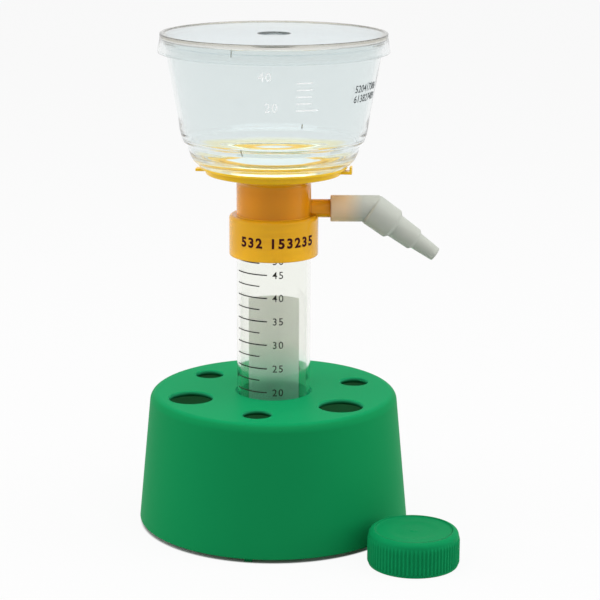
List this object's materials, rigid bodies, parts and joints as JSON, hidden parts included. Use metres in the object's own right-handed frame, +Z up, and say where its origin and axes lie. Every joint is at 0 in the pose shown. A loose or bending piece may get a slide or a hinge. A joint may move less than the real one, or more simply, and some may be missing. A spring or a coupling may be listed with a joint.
{
  "type": "vacuum filtration unit",
  "caption": "Vacuum filtration unit: clear lidded funnel on a membrane base screwed to a conical centrifuge tube, with hose adapter, round tube stand and loose screw cap.",
  "frame": {"origin": "centre of the footprint of the stand and the cap beside it, on the bench", "axes": "+Z up along the tube, +X to the side of the hose port and the loose cap, -Y towards the front, where the cap lies"},
  "size_m": [0.1233, 0.1207, 0.1925],
  "materials": {
    "stand_green": "moulded polypropylene, soft sheen",
    "tube_clear": "clear moulded polypropylene, smooth",
    "seal_white": "soft closed-cell foam",
    "base_amber": "translucent moulded styrene plastic",
    "membrane_white": "matt porous film",
    "funnel_clear": "clear moulded polystyrene, polished",
    "lid_clear": "clear moulded polystyrene, polished",
    "adapter_grey": "natural moulded polyethylene, satin",
    "cap_green": "moulded polypropylene, soft sheen"
  },
  "bodies": {
    "stand_and_tube": {"tube_stand": "stand_green", "centrifuge_tube": "tube_clear", "tube_cap": "cap_green"},
    "seal": {"rim_seal": "seal_white"},
    "filter_head": {"filter_base": "base_amber", "membrane": "membrane_white", "funnel": "funnel_clear", "funnel_lid": "lid_clear"},
    "adapter": {"hose_adapter": "adapter_grey"}
  },
  "joints": [
    {"name": "head_lift", "type": "slide", "parent": "stand_and_tube", "child": "seal", "axis": [0, 0, 1], "range_m": [0, 0.0046]},
    {"name": "head_unscrew", "type": "hinge", "parent": "seal", "child": "filter_head", "pos_m": [-0.00875, 0.00745, 0.12], "axis": [0, 0, 1], "range_deg": [0, 540]},
    {"name": "adapter_swivel", "type": "hinge", "parent": "filter_head", "child": "adapter", "pos_m": [0.02125, 0.00745, 0.1251], "axis": [1, 0, 0], "continuous": true}
  ],
  "couplings": [
    {"joint": "head_lift", "follows": "head_unscrew", "m_per_rad": 0.00047746}
  ]
}
